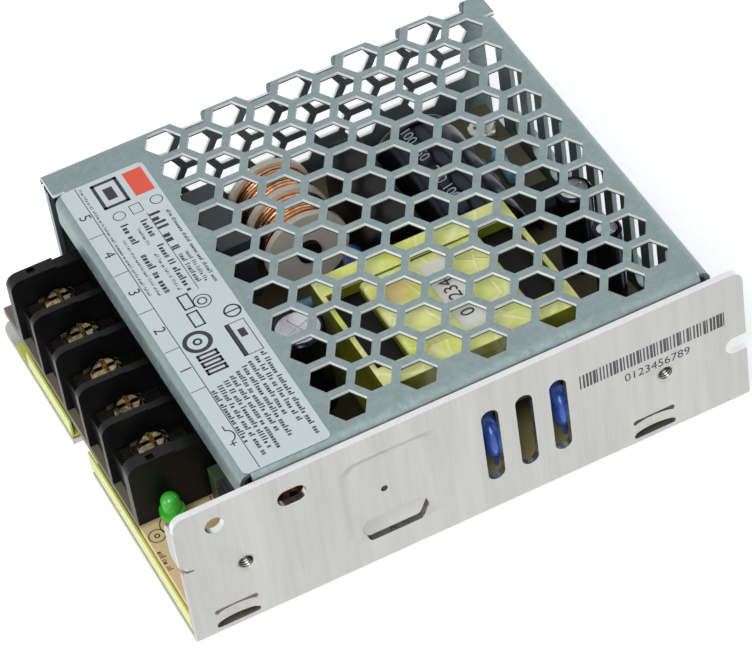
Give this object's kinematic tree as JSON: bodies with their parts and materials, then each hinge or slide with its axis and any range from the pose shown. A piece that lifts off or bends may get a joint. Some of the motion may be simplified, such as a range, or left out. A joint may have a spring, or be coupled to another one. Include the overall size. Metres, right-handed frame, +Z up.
{
  "type": "enclosed switching power supply",
  "caption": "Enclosed switching power supply: aluminium chassis, steel cover with hexagonal mesh, screw terminal block and a populated board inside.",
  "frame": {"origin": "bottom centre of the case", "axes": "+X along the case from the terminals to the rear, +Y from the tapped chassis wall to the far wall, +Z up through the meshed top"},
  "size_m": [0.099, 0.082, 0.03],
  "materials": {
    "brushed_aluminium": "vertical brushed sheet",
    "galvanised_steel": "galvanised sheet, satin",
    "label_print": "printed film label",
    "plated_steel": "zinc plated",
    "yellow_film": "translucent film",
    "board_laminate": "tan paper laminate with solder mask",
    "black_plastic": "moulded, satin",
    "tinned_brass": "tin plated",
    "nickel_washer": "nickel plated",
    "nickel_screw": "nickel plated with a warm tint",
    "green_lens": "diffused lens",
    "lead_metal": "tinned wire",
    "trimmer_plastic": "moulded",
    "knob_plastic": "moulded, ribbed",
    "ferrite": "sintered ferrite",
    "phenolic": "moulded phenolic",
    "winding_tape": "polyester tape",
    "yellow_tape": "polyester tape",
    "ivory_plastic": "moulded nylon",
    "copper_wire": "enamelled copper",
    "capacitor_sleeve": "shrunk sleeve",
    "capacitor_can": "drawn aluminium",
    "slate_plastic": "moulded box",
    "black_gloss": "moulded box",
    "blue_coating": "dipped epoxy",
    "core_paint": "epoxy paint",
    "moulded_epoxy": "moulded epoxy",
    "silicone_pad": "silicone rubber",
    "white_epoxy": "moulded epoxy",
    "fuse_plastic": "moulded box",
    "dark_coating": "dipped coating",
    "varistor_coating": "dipped epoxy",
    "resistor_coating": "lacquer with plain bands"
  },
  "bodies": {
    "housing": {"chassis": "brushed_aluminium", "cover": "galvanised_steel", "rating_label": "label_print", "cover_screws": "plated_steel", "insulating_film": "yellow_film", "circuit_board": "board_laminate", "board_standoffs": "plated_steel", "board_screws": "plated_steel", "terminal_block": "black_plastic", "terminal_plates": "tinned_brass", "lamp_lens": "green_lens", "lamp_leads": "lead_metal", "trimmer_body": "trimmer_plastic", "transformer_core": "ferrite", "transformer_bobbin": "phenolic", "transformer_winding": "winding_tape", "transformer_tape": "yellow_tape", "choke_core": "ferrite", "choke_bobbin": "ivory_plastic", "choke_windings": "copper_wire", "bulk_capacitor": "capacitor_sleeve", "bulk_capacitor_end": "capacitor_can", "line_capacitor": "slate_plastic", "film_capacitor": "black_gloss", "output_capacitor_cans": "capacitor_can", "output_capacitor_sleeves": "capacitor_sleeve", "disc_capacitors": "blue_coating", "inductor_core": "core_paint", "inductor_winding": "copper_wire", "bridge_rectifier": "moulded_epoxy", "power_devices": "moulded_epoxy", "thermal_pads": "silicone_pad", "optocoupler": "white_epoxy", "control_chip": "moulded_epoxy", "fuse": "fuse_plastic", "thermistor": "dark_coating", "varistor": "varistor_coating", "resistors": "resistor_coating"},
    "washer_1": {"terminal_washer_1": "nickel_washer"},
    "screw_1": {"terminal_screw_1": "nickel_screw"},
    "washer_2": {"terminal_washer_2": "nickel_washer"},
    "screw_2": {"terminal_screw_2": "nickel_screw"},
    "washer_3": {"terminal_washer_3": "nickel_washer"},
    "screw_3": {"terminal_screw_3": "nickel_screw"},
    "washer_4": {"terminal_washer_4": "nickel_washer"},
    "screw_4": {"terminal_screw_4": "nickel_screw"},
    "washer_5": {"terminal_washer_5": "nickel_washer"},
    "screw_5": {"terminal_screw_5": "nickel_screw"},
    "knob": {"trimmer_knob": "knob_plastic"}
  },
  "joints": [
    {"name": "lift_1", "type": "slide", "parent": "housing", "child": "washer_1", "axis": [0, 0, 1], "range_m": [0, 0.003]},
    {"name": "turn_1", "type": "hinge", "parent": "washer_1", "child": "screw_1", "pos_m": [-0.042, -0.0126, 0.0148], "axis": [0, 0, 1], "range_deg": [0, 1800]},
    {"name": "lift_2", "type": "slide", "parent": "housing", "child": "washer_2", "axis": [0, 0, 1], "range_m": [0, 0.003]},
    {"name": "turn_2", "type": "hinge", "parent": "washer_2", "child": "screw_2", "pos_m": [-0.042, -0.0031, 0.0148], "axis": [0, 0, 1], "range_deg": [0, 1800]},
    {"name": "lift_3", "type": "slide", "parent": "housing", "child": "washer_3", "axis": [0, 0, 1], "range_m": [0, 0.003]},
    {"name": "turn_3", "type": "hinge", "parent": "washer_3", "child": "screw_3", "pos_m": [-0.042, 0.0064, 0.0148], "axis": [0, 0, 1], "range_deg": [0, 1800]},
    {"name": "lift_4", "type": "slide", "parent": "housing", "child": "washer_4", "axis": [0, 0, 1], "range_m": [0, 0.003]},
    {"name": "turn_4", "type": "hinge", "parent": "washer_4", "child": "screw_4", "pos_m": [-0.042, 0.0159, 0.0148], "axis": [0, 0, 1], "range_deg": [0, 1800]},
    {"name": "lift_5", "type": "slide", "parent": "housing", "child": "washer_5", "axis": [0, 0, 1], "range_m": [0, 0.003]},
    {"name": "turn_5", "type": "hinge", "parent": "washer_5", "child": "screw_5", "pos_m": [-0.042, 0.0254, 0.0148], "axis": [0, 0, 1], "range_deg": [0, 1800]},
    {"name": "trim", "type": "hinge", "parent": "housing", "child": "knob", "pos_m": [-0.0336, -0.023, 0.0112], "axis": [0, -1, 0], "range_deg": [-130, 130]}
  ],
  "couplings": [
    {"joint": "turn_1", "follows": "lift_1", "rad_per_m": 10472},
    {"joint": "turn_2", "follows": "lift_2", "rad_per_m": 10472},
    {"joint": "turn_3", "follows": "lift_3", "rad_per_m": 10472},
    {"joint": "turn_4", "follows": "lift_4", "rad_per_m": 10472},
    {"joint": "turn_5", "follows": "lift_5", "rad_per_m": 10472}
  ]
}
